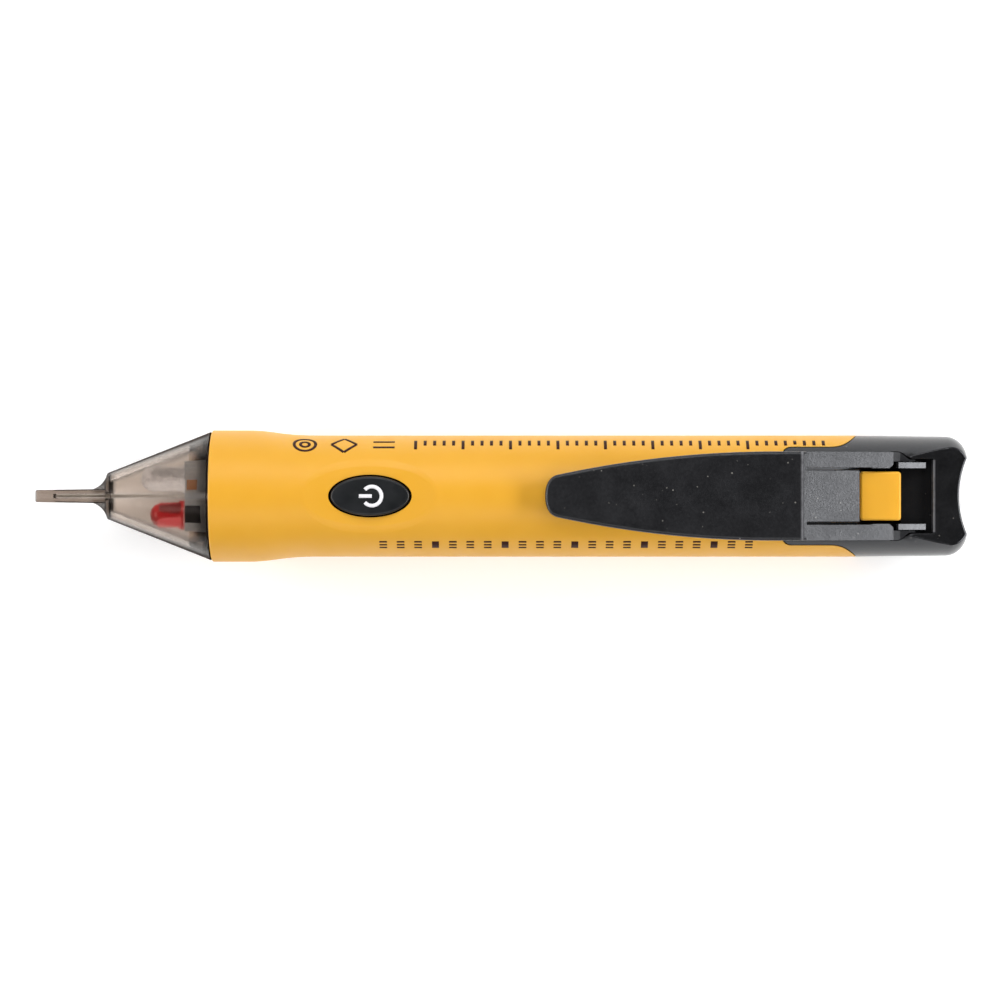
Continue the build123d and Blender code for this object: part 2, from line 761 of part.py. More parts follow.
with BuildPart() as cap_spring:
    with BuildLine() as coil:
        Polyline([spring_point(step) for step in range(SPRING_TURNS * RUNS_PER_TURN + 1)])
    with BuildSketch(Plane(origin=coil.line @ 0, z_dir=coil.line % 0)):
        Circle(SPRING_WIRE)
    sweep(transition=Transition.RIGHT)
save(cap_spring, "cap_spring")


# ======================================================================================
# Pocket clip
# ======================================================================================

with BuildPart() as clip_blade:
    with BuildSketch(level(8)):
        with BuildLine():
            edge = ThreePointArc(BLADE_FRONT, BLADE_MIDDLE, (RIDGE_S - 1.5, ARM_OUT))
            Spline(
                (CLIP_TIP, 0),
                (CLIP_TIP + 0.25, 1.7),
                BLADE_FRONT,
                tangents=[(0, 1), edge % 0],
            )
            Polyline(edge @ 1, (RIDGE_S + 0.6, ARM_OUT), (RIDGE_S + 0.6, 0), (CLIP_TIP, 0))
        make_face()
        mirror(about=Plane.XZ)
    extrude(amount=10)
    with BuildSketch(side()) as blade_side:
        with BuildLine():
            Polyline(
                (CLIP_TIP, BODY_R + 0.5),
                (CLIP_TIP, TIP_H),
                (RIDGE_S, RIDGE_H),
                (RIDGE_S + 0.6, ramp(RIDGE_S + 0.6)),
                (RIDGE_S + 0.6, ramp(RIDGE_S + 0.6) - RAMP_THICK),
                (RIDGE_S - 0.7, RIDGE_H - 1.9),
                (88.0, 10.95),
                (85.5, BODY_R + 0.13),
                (CLIP_TIP + 0.6, BODY_R + 0.13),
                close=True,
            )
        make_face()
        fillet(blade_side.vertices().sort_by(Axis.Y)[-1], RIDGE_ROUND)
    extrude(amount=9, both=True, mode=Mode.INTERSECT)
    blade_top = clip_blade.faces().filter_by(GeomType.PLANE).sort_by(SortBy.AREA)[-2:].sort_by(Axis.Z)[-1]
    rim = [edge for edge in blade_top.edges() if edge.center().X < RIDGE_S - LENGTH / 2 - 0.1]
    fillet(rim, BLADE_ROUND)


def is_ramp(face):
    """True for a face that slopes as the clip's ramp does."""
    return slopes_back(face, RAMP_TILT)


def runs_back(edge):
    """True for an edge that runs mostly along the barrel."""
    return abs((edge % 0.5).X) > 0.8


def is_at(vertex, s, y):
    """True for a plan's corner at a station and a distance from the centre line."""
    return abs(vertex.X - s) < 0.01 and abs(abs(vertex.Y) - y) < 0.01


with BuildPart() as clip_arms:
    with BuildSketch(level(0)) as arm_plan:
        add(pocket_outline(0.13))
        with Locations((RIDGE_S - 5, 0)):
            Rectangle(11, 30, mode=Mode.SUBTRACT)
        with Locations(((TONGUE_START + ARM_END) / 2 + 0.1, 0)):
            Rectangle(ARM_END - TONGUE_START + 0.2, 2 * ARM_IN, mode=Mode.SUBTRACT)
        with Locations((ARM_END + 5, 0)):
            Rectangle(10, 2 * (RIB_OUT + 0.15), mode=Mode.SUBTRACT)
        with Locations((TAIL_END + 5, 0)):
            Rectangle(10, 20, mode=Mode.SUBTRACT)
        fillet([v for v in arm_plan.vertices() if is_at(v, ARM_END, ARM_IN)], 0.75)
    extrude(amount=18)
    with BuildSketch(side()):
        with BuildLine():
            Polyline(
                (RIDGE_S + 0.4, ramp(RIDGE_S + 0.4) - ARM_DROP),
                (ARM_END, ramp(ARM_END) - ARM_DROP),
                (ARM_END + 1.2, 7.35),
                (TAIL_END, 6.95),
                (TAIL_END, 5.4),
                (ARM_END, 5.25),
                (ARM_END, arm_underside(ARM_END)),
                (RIDGE_S + 0.4, arm_underside(RIDGE_S + 0.4)),
                close=True,
            )
        make_face()
    extrude(amount=9, both=True, mode=Mode.INTERSECT)

with BuildPart() as clip_strip:
    with BuildSketch(side()):
        with BuildLine():
            Polyline(
                (RIDGE_S + 0.4, ramp(RIDGE_S + 0.4)),
                (STRIP_END, ramp(STRIP_END)),
                (STRIP_END, ramp(STRIP_END) - RAMP_THICK),
                (RIDGE_S + 0.4, ramp(RIDGE_S + 0.4) - RAMP_THICK),
                close=True,
            )
        make_face()
    extrude(amount=STRIP_HALF, both=True)
    fillet(clip_strip.faces().filter_by(is_ramp).edges().filter_by(runs_back), 0.2)

with BuildPart() as pocket_clip:
    add(clip_blade.part)
    add(clip_arms.part)
    add(clip_strip.part)
    # pivots that turn inwards into the ribs
    for turn in (-1, 1):
        with BuildSketch(side(turn * (RIB_OUT - 0.7))):
            with Locations((PIVOT_S, PIVOT_H)):
                Circle(PIVOT_R)
        extrude(amount=-turn * 1.1)
save(pocket_clip, "pocket_clip")


# ======================================================================================
# Latch finger
# ======================================================================================

with BuildPart() as latch_tab:
    with BuildSketch(side()):
        with BuildLine():
            Polyline(
                (TAB_START, TAB_LOW),
                (TAB_START, TAB_TOP),
                (TAB_END, TAB_TOP - 0.6),
                (TAB_END, TAB_LOW),
                close=True,
            )
        make_face()
    extrude(amount=TAB_HALF, both=True)
    fillet(latch_tab.edges().filter_by(Axis.Z), 0.5)
    fillet(latch_tab.edges().group_by(Axis.Z)[-1], 0.4)
    # the finger, with a round root on the line that it bends about
    with BuildSketch(side()):
        with BuildLine():
            root_r = (FINGER_TOP - FINGER_LOW) / 2
            root_s = FINGER_START + root_r
            ThreePointArc((root_s, FINGER_LOW), (FINGER_START, FINGER_LOW + root_r), (root_s, FINGER_TOP))
            Polyline(
                (root_s, FINGER_TOP),
                (TAB_START + 0.5, FINGER_TOP),
                (TAB_START + 0.5, FINGER_LOW),
                (root_s, FINGER_LOW),
            )
        make_face()
    extrude(amount=FINGER_HALF, both=True)
save(latch_tab, "latch_tab")
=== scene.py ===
import math

import bmesh
import bpy
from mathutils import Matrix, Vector
from mathutils.bvhtree import BVHTree


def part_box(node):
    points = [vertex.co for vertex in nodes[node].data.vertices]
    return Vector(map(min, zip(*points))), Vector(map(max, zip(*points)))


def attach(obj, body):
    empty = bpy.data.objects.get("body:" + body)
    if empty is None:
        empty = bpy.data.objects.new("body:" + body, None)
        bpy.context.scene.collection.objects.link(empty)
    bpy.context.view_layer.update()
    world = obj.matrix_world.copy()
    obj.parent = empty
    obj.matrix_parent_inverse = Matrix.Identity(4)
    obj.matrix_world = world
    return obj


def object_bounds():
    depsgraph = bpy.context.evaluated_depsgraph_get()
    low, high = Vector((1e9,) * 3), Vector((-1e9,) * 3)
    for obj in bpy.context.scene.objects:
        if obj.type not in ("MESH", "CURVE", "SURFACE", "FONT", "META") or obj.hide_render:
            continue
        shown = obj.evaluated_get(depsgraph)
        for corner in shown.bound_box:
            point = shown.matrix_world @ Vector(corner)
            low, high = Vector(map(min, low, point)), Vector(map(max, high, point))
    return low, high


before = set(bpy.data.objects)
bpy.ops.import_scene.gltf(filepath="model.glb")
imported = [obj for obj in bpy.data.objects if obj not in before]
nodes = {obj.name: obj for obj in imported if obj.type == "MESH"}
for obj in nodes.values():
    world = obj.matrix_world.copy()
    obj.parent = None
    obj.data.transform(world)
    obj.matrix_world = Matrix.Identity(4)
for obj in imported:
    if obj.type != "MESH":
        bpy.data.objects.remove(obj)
cad_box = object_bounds()

MM = 0.001

# ---- fixed sizes ----
BODY_R = 9.665 * MM  # the barrel's radius behind its collar
SLIT_CLEAR = 0.7 * MM  # reach of the clearer line over the nib's slit, to each side
CELL_LENGTH = 44.5 * MM
POCKET_REAR = 5.65 * MM  # from the cap's rear end to the rear edge of its pocket
INK_LIFT = 0.02 * MM
INK_THICKNESS = 0.03 * MM
CAMERA_HEIGHT = 0.6  # above the barrel's axis
FRAMED_WIDTH_MM = 159.5  # what the camera takes in at the height of the axis
SENSOR_MM = 36

# ---- places read from the frame ----
barrel_low, barrel_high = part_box("barrel")
button_low, button_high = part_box("power_button")
lens_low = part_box("sensor_lens")[0]
COLLAR_R = (barrel_high.y - barrel_low.y) / 2
AXIS_Z = barrel_high.z - COLLAR_R
TIP_X = lens_low.x
CONE_REAR = barrel_low.x - lens_low.x


# ======================================================================================
# Material building blocks
# ======================================================================================

class Graph:
    """A short way to write a node material."""

    def __init__(self, name):
        self.material = bpy.data.materials.new(name)
        self.material.use_nodes = True
        self.tree = self.material.node_tree
        self.shader = self.tree.nodes["Principled BSDF"]
        self.place = self.add("ShaderNodeTexCoord").outputs["Object"]

    def add(self, kind, **settings):
        node = self.tree.nodes.new(kind)
        for key, value in settings.items():
            setattr(node, key, value)
        return node

    def link(self, source, target):
        self.tree.links.new(source, target)

    def set(self, **values):
        """Constant values on the shader's own sockets, with _ for a space."""
        for key, value in values.items():
            self.shader.inputs[key.replace("_", " ")].default_value = value

    def noise(self, scale, detail=4.0, rough=0.55, distortion=0.0, place=None):
        """Noise at a scale given in features per metre."""
        node = self.add("ShaderNodeTexNoise")
        node.inputs["Scale"].default_value = scale
        node.inputs["Detail"].default_value = detail
        node.inputs["Roughness"].default_value = rough
        node.inputs["Distortion"].default_value = distortion
        self.link(place or self.place, node.inputs["Vector"])
        return node.outputs["Fac"]

    def cells(self, scale):
        """Distance to the nearest of many scattered points."""
        node = self.add("ShaderNodeTexVoronoi")
        node.inputs["Scale"].default_value = scale
        self.link(self.place, node.inputs["Vector"])
        return node.outputs["Distance"]

    def ramp(self, source, stops):
        """A colour ramp with (place, value or colour) stops."""
        node = self.add("ShaderNodeValToRGB")
        band = node.color_ramp
        while len(band.elements) < len(stops):
            band.elements.new(0.5)
        for element, (where, what) in zip(band.elements, stops):
            element.position = where
            element.color = (what, what, what, 1) if isinstance(what, (int, float)) else (*what, 1)
        self.link(source, node.inputs["Fac"])
        return node.outputs["Color"]

    def mix(self, amount, a, b):
        """Mix of two colours; each may be a colour or a socket."""
        node = self.add("ShaderNodeMix", data_type="RGBA")
        for value, socket in ((amount, node.inputs[0]), (a, node.inputs[6]), (b, node.inputs[7])):
            if isinstance(value, bpy.types.NodeSocket):
                self.link(value, socket)
            elif isinstance(value, (int, float)):
                socket.default_value = value
            else:
                socket.default_value = (*value, 1)
        return node.outputs[2]

    def blend(self, kind, a, b):
        """Two colour sockets combined in full by a blend of some kind."""
        node = self.add("ShaderNodeMix", data_type="RGBA", blend_type=kind)
        node.inputs[0].default_value = 1.0
        self.link(a, node.inputs[6])
        self.link(b, node.inputs[7])
        return node.outputs[2]

    def math(self, operation, a, b=0.0):
        node = self.add("ShaderNodeMath", operation=operation)
        for value, socket in zip((a, b), node.inputs):
            if isinstance(value, bpy.types.NodeSocket):
                self.link(value, socket)
            else:
                socket.default_value = value
        return node.outputs[0]

    def axis(self, letter):
        """One coordinate of the object's own space, in metres."""
        node = self.add("ShaderNodeSeparateXYZ")
        self.link(self.place, node.inputs[0])
        return node.outputs[letter]

    def rim(self, start, end):
        """Rises from 0 to 1 as the surface turns away from the viewer."""
        node = self.add("ShaderNodeLayerWeight")
        node.inputs["Blend"].default_value = 0.5
        return self.ramp(node.outputs["Facing"], [(start, 0.0), (end, 1.0)])

    def near_line(self, x, half_width, half_length):
        """1 on a line across the object at one X, fading to 0 on both sides, and 0 past its ends."""
        off = self.math("ABSOLUTE", self.math("SUBTRACT", self.axis("X"), x))
        share = self.math("MINIMUM", self.math("DIVIDE", off, half_width), 1.0)
        beside = self.math("SUBTRACT", 1.0, share)
        inside = self.math("LESS_THAN", self.math("ABSOLUTE", self.axis("Y")), half_length)
        return self.math("MULTIPLY", beside, inside)

    def bump(self, *layers):
        """Stack of (height, distance in metres) bumps on the shader's normal."""
        normal = None
        for height, distance in layers:
            node = self.add("ShaderNodeBump")
            node.inputs["Distance"].default_value = distance
            node.inputs["Strength"].default_value = 1.0
            self.link(height, node.inputs["Height"])
            if normal:
                self.link(normal, node.inputs["Normal"])
            normal = node.outputs["Normal"]
        self.link(normal, self.shader.inputs["Normal"])

    def colour(self, socket):
        self.link(socket, self.shader.inputs["Base Color"])

    def roughness(self, socket):
        self.link(socket, self.shader.inputs["Roughness"])


def yellow_plastic(name="barrel_plastic", painted_light_gain=1.0):
    """Moulded yellow-orange plastic: fine satin grain, slight mottling and light handling marks."""
    g = Graph(name)
    g.set(Specular_IOR_Level=0.35, Subsurface_Weight=0.08, Subsurface_Scale=0.0015)
    g.shader.inputs["Subsurface Radius"].default_value = (1.0, 0.45, 0.1)
    mottling = g.noise(90, detail=3)
    deep, light = (0.695, 0.345, 0.023), (0.725, 0.365, 0.028)
    # A factor above 1 makes a lighter copy of this plastic: painted light.
    tones = [tuple(painted_light_gain * c for c in tone) for tone in (deep, light)]
    body = g.mix(g.ramp(mottling, [(0.3, 0.0), (0.7, 1.0)]), *tones)
    scuffs = g.ramp(g.noise(700, detail=6, rough=0.7, distortion=1.5), [(0.64, 0.0), (0.78, 1.0)])
    patches = g.ramp(g.noise(45, detail=2), [(0.5, 0.0), (0.7, 1.0)])
    marks = g.math("MULTIPLY", scuffs, patches)
    g.colour(g.mix(g.math("MULTIPLY", marks, 0.35), body, (0.60, 0.26, 0.03)))
    g.roughness(g.ramp(g.noise(160, detail=5), [(0.3, 0.36), (0.7, 0.48)]))
    g.bump((g.noise(9000, detail=2), 0.000004), (g.noise(220, detail=2), 0.000012))
    return g.material


def black_plastic(
    name, painted_highlight_line, dust=1.0, rough=(0.30, 0.42), base=(0.006, 0.006, 0.0068), grain=0.00004
):
    """Black moulded plastic with a fine grain, specks of dust and a painted highlight along one edge.

    The painted highlight is a pale line given by its X, its half width and its half length.
    """
    g = Graph(name)
    g.set(Specular_IOR_Level=0.5)
    g.shader.inputs["Specular Tint"].default_value = (0.93, 0.95, 1.0, 1)
    tone = g.ramp(g.noise(130, detail=4), [(0.3, 0.0), (0.7, 1.0)])
    body = g.mix(tone, base, tuple(1.6 * c for c in base))
    specks = g.ramp(g.cells(900), [(0.09, 1.0), (0.15, 0.0)])
    where = g.ramp(g.noise(420, detail=3, rough=0.6), [(0.54, 0.0), (0.62, 1.0)])
    dusty = g.math("MULTIPLY", g.math("MULTIPLY", specks, where), 0.8 * dust)
    uneven = g.ramp(g.noise(900, detail=3), [(0.3, 0.6), (0.6, 1.0)])
    # Painted highlight: the pale line along one edge, made uneven along its length.
    painted_highlight = g.math("MULTIPLY", g.near_line(*painted_highlight_line), uneven)
    g.colour(g.mix(painted_highlight, g.mix(dusty, body, (0.22, 0.21, 0.19)), (0.16, 0.16, 0.17)))
    broad = g.math("MULTIPLY", g.noise(260, detail=5), 0.5)
    fine = g.math("MULTIPLY", g.noise(2200, detail=3), 0.5)
    wear = g.math("ADD", broad, fine)
    g.roughness(g.ramp(wear, [(0.38, rough[0]), (0.62, rough[1])]))
    g.bump((g.noise(2500, detail=3, rough=0.7), grain), (g.noise(300, detail=2), 0.000010))
    return g.material


def button_rubber():
    """Black button material with a soft satin skin."""
    g = Graph("button_skin")
    g.set(Specular_IOR_Level=0.4)
    tone = g.ramp(g.noise(300, detail=4), [(0.35, 0.0), (0.7, 1.0)])
    g.colour(g.mix(tone, (0.005, 0.006, 0.007), (0.010, 0.011, 0.013)))
    g.roughness(g.ramp(g.noise(500, detail=4), [(0.3, 0.34), (0.7, 0.46)]))
    g.bump((g.noise(8000, detail=2), 0.000008))
    return g.material


def print_ink(name, colour):
    """Ink with slightly uneven cover."""
    g = Graph(name)
    g.set(Specular_IOR_Level=0.1)
    wear = g.ramp(g.noise(2600, detail=4, rough=0.7), [(0.3, 0.0), (0.75, 1.0)])
    g.colour(g.mix(wear, colour, tuple(min(1.0, 0.9 * c + 0.012) for c in colour)))
    g.roughness(g.ramp(g.noise(900), [(0.3, 0.45), (0.7, 0.6)]))
    g.bump((g.noise(6000, detail=2), 0.000003))
    return g.material


def smoky_lens():
    """Smoke-brown clear plastic with faint flow marks.

    Darker bands along its length, a clearer line over the slit and a dark, less clear outline are
    painted shade, standing in for the dark edges that the real moulding gets from refraction.
    """
    g = Graph("smoky_clear")
    g.set(IOR=1.49, Transmission_Weight=1.0, Specular_IOR_Level=0.0)
    g.shader.inputs["Specular Tint"].default_value = (0.18, 0.16, 0.15, 1)
    # Painted shade: the lens turns less clear towards its outline.
    g.link(g.math("SUBTRACT", 1.0, g.rim(0.50, 0.82)), g.shader.inputs["Transmission Weight"])
    flow = g.ramp(g.noise(240, detail=4, distortion=2.0), [(0.3, 0.0), (0.75, 1.0)])
    body = g.mix(flow, (0.90, 0.875, 0.85), (0.95, 0.93, 0.91))
    share = g.math("DIVIDE", g.math("SUBTRACT", g.axis("X"), TIP_X), CONE_REAR)
    # Painted shade: darker bands along the lens, kept off a line over the slit.
    painted_shade_bands = [(0.0, 0.90), (0.09, 0.86), (0.30, 0.86), (0.34, 0.42), (0.42, 0.38), (0.445, 1.0),
              (0.93, 0.94), (0.97, 0.50), (1.0, 0.45)]
    along = g.ramp(share, [(where, (tone, 0.97 * tone, 0.94 * tone)) for where, tone in painted_shade_bands])
    off_slit = g.math("DIVIDE", g.math("ABSOLUTE", g.axis("Y")), SLIT_CLEAR)
    over_slit = g.ramp(off_slit, [(0.3, 1.0), (1.0, 0.0)])
    banded = g.mix(over_slit, g.blend("MULTIPLY", body, along), body)
    # Painted shade: a dark outline where the surface turns away from the viewer.
    g.colour(g.mix(g.rim(0.42, 0.75), banded, (0.05, 0.042, 0.037)))
    g.roughness(g.ramp(g.noise(300, detail=5), [(0.3, 0.11), (0.7, 0.18)]))
    g.bump((g.noise(650, detail=2), 0.000018))
    smoke = g.add("ShaderNodeVolumeAbsorption")
    smoke.inputs["Color"].default_value = (0.50, 0.41, 0.34, 1)
    smoke.inputs["Density"].default_value = 350
    g.link(smoke.outputs["Volume"], g.tree.nodes["Material Output"].inputs["Volume"])
    return g.material


def lamp_epoxy(name, colour, clear, painted_glow, glints):
    """Lamp epoxy, tinted or milky, with a lumpy skin that makes glints, and painted light from within
    that stands in for light reaching it through the lens.
    """
    g = Graph(name)
    g.set(IOR=1.5, Transmission_Weight=clear, Emission_Strength=painted_glow)
    g.shader.inputs["Emission Color"].default_value = (*colour, 1)
    tone = g.ramp(g.noise(1100, detail=4), [(0.35, 0.0), (0.65, 1.0)])
    g.colour(g.mix(tone, colour, tuple(0.8 * c for c in colour)))
    g.roughness(g.ramp(g.noise(900), [(0.3, 0.08), (0.7, 0.2)]))
    g.bump((g.noise(1900, detail=3), glints))
    return g.material


def bright_metal(name, colour):
    """Drawn or plated metal, with grain stretched along one axis and dull patches."""
    g = Graph(name)
    g.set(Metallic=1.0)
    stretch = g.add("ShaderNodeMapping")
    stretch.inputs["Scale"].default_value = (40, 4000, 4000)
    g.link(g.place, stretch.inputs["Vector"])
    lines = g.noise(1.0, detail=4, place=stretch.outputs["Vector"])
    dull = g.ramp(g.noise(350, detail=5), [(0.4, 0.0), (0.7, 1.0)])
    g.colour(g.mix(dull, colour, tuple(0.72 * c for c in colour)))
    g.roughness(g.ramp(lines, [(0.3, 0.18), (0.7, 0.34)]))
    g.bump((lines, 0.000004))
    return g.material


def board_mask():
    """Solder-masked circuit board with paler tracks under the mask, and painted light from within that
    stands in for light reaching it through the lens.
    """
    g = Graph("board_mask")
    # Painted light: the board shines a little from within.
    g.set(Coat_Weight=0.3, Coat_Roughness=0.12, Emission_Strength=0.10)
    g.shader.inputs["Emission Color"].default_value = (0.66, 0.69, 0.72, 1)
    bricks = g.add("ShaderNodeTexBrick")
    bricks.inputs["Scale"].default_value = 420
    bricks.inputs["Mortar Size"].default_value = 0.03
    bricks.inputs["Color1"].default_value = (0, 0, 0, 1)
    bricks.inputs["Color2"].default_value = (0.2, 0.2, 0.2, 1)
    bricks.inputs["Mortar"].default_value = (1, 1, 1, 1)
    g.link(g.place, bricks.inputs["Vector"])
    g.colour(g.mix(bricks.outputs["Color"], (0.60, 0.65, 0.70), (0.70, 0.73, 0.76)))
    g.roughness(g.ramp(g.noise(900), [(0.3, 0.3), (0.7, 0.45)]))
    g.bump((bricks.outputs["Fac"], 0.00002))
    return g.material


def battery_jacket():
    """Printed battery sleeve: dark jacket, a bare metal front end and a copper-coloured band."""
    g = Graph("battery_jacket")
    g.set(Specular_IOR_Level=0.5, Coat_Weight=0.4, Coat_Roughness=0.15)
    from_front = g.math("SUBTRACT", g.axis("X"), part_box("battery_front")[0].x)
    share = g.math("DIVIDE", g.math("MODULO", from_front, CELL_LENGTH), CELL_LENGTH)
    bare, dark, copper = (0.5, 0.5, 0.49), (0.02, 0.02, 0.022), (0.45, 0.22, 0.09)
    bands = g.ramp(share, [(0.0, bare), (0.02, bare), (0.025, dark), (0.62, dark), (0.63, copper),
                           (0.78, copper), (0.79, dark)])
    g.colour(g.mix(g.math("MULTIPLY", g.noise(900, detail=4), 0.2), bands, (0.3, 0.3, 0.3)))
    g.roughness(g.ramp(g.noise(400), [(0.3, 0.25), (0.7, 0.38)]))
    g.bump((g.noise(500, detail=2), 0.00001))
    return g.material


def plain_moulding(name, colour, rough=(0.4, 0.55), painted_glow=0.0):
    """Small moulded part, which may shine a little with painted light, as if lit from within."""
    g = Graph(name)
    g.set(Emission_Strength=painted_glow)
    g.shader.inputs["Emission Color"].default_value = (*colour, 1)
    tone = g.ramp(g.noise(400, detail=4), [(0.3, 0.0), (0.7, 1.0)])
    g.colour(g.mix(tone, colour, tuple(0.8 * c for c in colour)))
    g.roughness(g.ramp(g.noise(700), [(0.3, rough[0]), (0.7, rough[1])]))
    g.bump((g.noise(5000, detail=2), 0.000008))
    return g.material


def paint(node_name, material):
    mesh = nodes[node_name].data
    mesh.materials.clear()
    mesh.materials.append(material)


# ======================================================================================
# Materials on the CAD pieces
# ======================================================================================

YELLOW = yellow_plastic()
CHIP = plain_moulding("chip_black", (0.035, 0.035, 0.038))
TINNED = bright_metal("tinned", (0.78, 0.77, 0.74))
CONTACT = bright_metal("plated_contact", (0.80, 0.79, 0.76))
JACKET = battery_jacket()

paint("barrel", YELLOW)
# The latch is the barrel's plastic made 12% lighter: painted light on the latch, which sits low in the
# cap's pocket.
paint("latch_tab", yellow_plastic("latch_plastic", 1.12))
# Painted highlight lines on the black plastics: along the clip's ridge and along the rear edge of the
# cap's pocket.
ridge_x = max(nodes["pocket_clip"].data.vertices, key=lambda vertex: vertex.co.z).co.x
pocket_end_x = cad_box[1].x - POCKET_REAR
CAP_BLACK = black_plastic("cap_black", (pocket_end_x, 0.28 * MM, 5.7 * MM), dust=0.5,
                          rough=(0.14, 0.22), base=(0.0055, 0.0055, 0.006), grain=0.000006)
paint("end_cap", CAP_BLACK)
paint("pocket_clip", black_plastic("clip_black", (ridge_x, 0.3 * MM, 7.1 * MM)))
paint("power_button", button_rubber())
paint("sensor_lens", smoky_lens())
paint("antenna_strip", plain_moulding("antenna_tin", (0.80, 0.76, 0.70), (0.35, 0.5)))
paint("circuit_board", board_mask())
# The lamps shine with painted light (0.10 and 0.16), so that they read through the lens.
paint("red_led", lamp_epoxy("red_epoxy", (0.80, 0.03, 0.035), 0.8, 0.10, 0.00002))
paint("green_led", lamp_epoxy("clear_epoxy", (0.90, 0.88, 0.89), 0.45, 0.16, 0.0003))
paint("led_leads", TINNED)
paint("chip_leads", TINNED)
paint("switch_body", bright_metal("switch_cover", (0.74, 0.74, 0.72)))
paint("switch_plunger", plain_moulding("plunger_black", (0.03, 0.03, 0.03)))
paint("driver_transistor", CHIP)
paint("controller_chip", CHIP)
paint("board_parts", plain_moulding("parts_tan", (0.32, 0.22, 0.13)))
paint("supply_capacitor", plain_moulding("capacitor_orange", (0.72, 0.33, 0.14)))
paint("buzzer", plain_moulding("buzzer_black", (0.02, 0.02, 0.022)))
paint("board_carrier", plain_moulding("carrier_white", (0.72, 0.71, 0.67)))
paint("front_contact", CONTACT)
paint("return_strip", CONTACT)
paint("cap_contact_plate", CONTACT)
paint("cap_spring", bright_metal("spring_wire", (0.72, 0.71, 0.69)))
paint("battery_front", JACKET)
paint("battery_rear", JACKET)


# ======================================================================================
# Printed marks
# ======================================================================================

def surface_of(node_name):
    """A tree for finding points on a CAD node's surface."""
    mesh = nodes[node_name].data
    points = [v.co for v in mesh.vertices]
    faces = [tuple(p.vertices) for p in mesh.polygons]
    return BVHTree.FromPolygons(points, faces)


def laid_ribbon(cast, path, half_width, lift):
    """Points for a narrow printed stroke along a flat path, laid onto a surface by a cast function."""
    rows = []
    for place, (u, v) in enumerate(path):
        before = path[max(place - 1, 0)]
        after = path[min(place + 1, len(path) - 1)]
        run = Vector((after[0] - before[0], after[1] - before[1])).normalized()
        side = Vector((-run.y, run.x)) * half_width
        row = []
        for turn in (-1, 0, 1):
            hit, normal = cast(u + turn * side.x, v + turn * side.y)
            row.append(hit + normal * lift)
        rows.append(row)
    return rows


def cast_down(tree):
    """Lays a flat pattern on from above, as (x, y)."""
    def cast(x, y):
        hit, normal, _, _ = tree.ray_cast(Vector((x, y, 0.05)), Vector((0, 0, -1)))
        return hit, normal
    return cast


def cast_round(tree):
    """Rolls a flat pattern onto the barrel, as (x, distance round it from the top towards +Y)."""
    def cast(x, along):
        turn = along / BODY_R
        out = Vector((0, math.sin(turn), math.cos(turn)))
        start = Vector((x, 0, AXIS_Z)) + out * 0.03
        hit, normal, _, _ = tree.ray_cast(start, -out)
        return hit, normal
    return cast


def ribbon_piece(name, strokes, material, body):
    """One mesh piece of several laid strokes, each thickened into a closed skin."""
    mesh = bpy.data.meshes.new(name)
    shape = bmesh.new()
    for rows in strokes:
        grid = [[shape.verts.new(point) for point in row] for row in rows]
        for first, second in zip(grid, grid[1:]):
            for place in range(len(first) - 1):
                loop = (first[place], first[place + 1], second[place + 1], second[place])
                face = shape.faces.new(loop)
                face.normal_update()
                if face.normal.z < 0:
                    face.normal_flip()
    shape.to_mesh(mesh)
    shape.free()
    for polygon in mesh.polygons:
        polygon.use_smooth = True
    piece = bpy.data.objects.new(name, mesh)
    bpy.context.scene.collection.objects.link(piece)
    thick = piece.modifiers.new("ink_thickness", "SOLIDIFY")
    thick.thickness = INK_THICKNESS
    thick.offset = -1
    mesh.materials.append(material)
    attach(piece, body)


def power_symbol():
    """Broken ring with a bar through its gap, which points to the nib."""
    cast = cast_down(surface_of("power_button"))
    centre_x = (button_low.x + button_high.x) / 2 + 0.33 * MM
    centre_y = 0.0
    ring_r = 1.5 * MM
    stroke = 0.29 * MM
    gap = math.radians(42)
    steps = 40
    ring = []
    for step in range(steps + 1):
        turn = -math.pi + gap + step * (2 * math.pi - 2 * gap) / steps
        ring.append((centre_x + ring_r * math.cos(turn), centre_y + ring_r * math.sin(turn)))
    bar = [(centre_x - step * 2.05 * MM / 6, centre_y) for step in range(7)]
    strokes = [laid_ribbon(cast, path, stroke, INK_THICKNESS) for path in (ring, bar)]
    ink = print_ink("white_ink", (0.82, 0.81, 0.84))
    ribbon_piece("power_symbol", strokes, ink, "button")


def ring_path(centre, radius, steps=28):
    turns = [2 * math.pi * step / steps for step in range(steps + 1)]
    return [(centre[0] + radius * math.cos(turn), centre[1] + radius * math.sin(turn)) for turn in turns]


def line_path(start, end, steps=4):
    return [
        (start[0] + (end[0] - start[0]) * step / steps, start[1] + (end[1] - start[1]) * step / steps)
        for step in range(steps + 1)
    ]


def upper_marks(cast):
    """On the +Y flank: a double ring, a diamond and a bar pair, then a long scale of ticks."""
    middle = 9.7 * MM
    stroke = 0.24 * MM
    start = TIP_X + 41.0 * MM
    paths = [ring_path((start + 2.0 * MM, middle), radius) for radius in (1.7 * MM, 0.7 * MM)]
    diamond = ((-2, 0), (0, 2), (2, 0), (0, -2), (-2, 0))
    corner = [(start + 8.2 * MM + dx * MM, middle + dy * MM) for dx, dy in diamond]
    paths += [line_path(a, b) for a, b in zip(corner, corner[1:])]
    for across in (-0.8, 0.8):
        v = middle + across * MM
        paths.append(line_path((start + 12.8 * MM, v), (start + 16.2 * MM, v)))
    for count in range(44):
        reach = (1.3 if count % 5 == 0 else 0.8) * MM
        x = TIP_X + (60.5 + 1.5 * count) * MM
        paths.append(line_path((x, middle + 1.3 * MM), (x, middle + 1.3 * MM - 2 * reach)))
    return [laid_ribbon(cast, path, stroke, INK_LIFT) for path in paths]


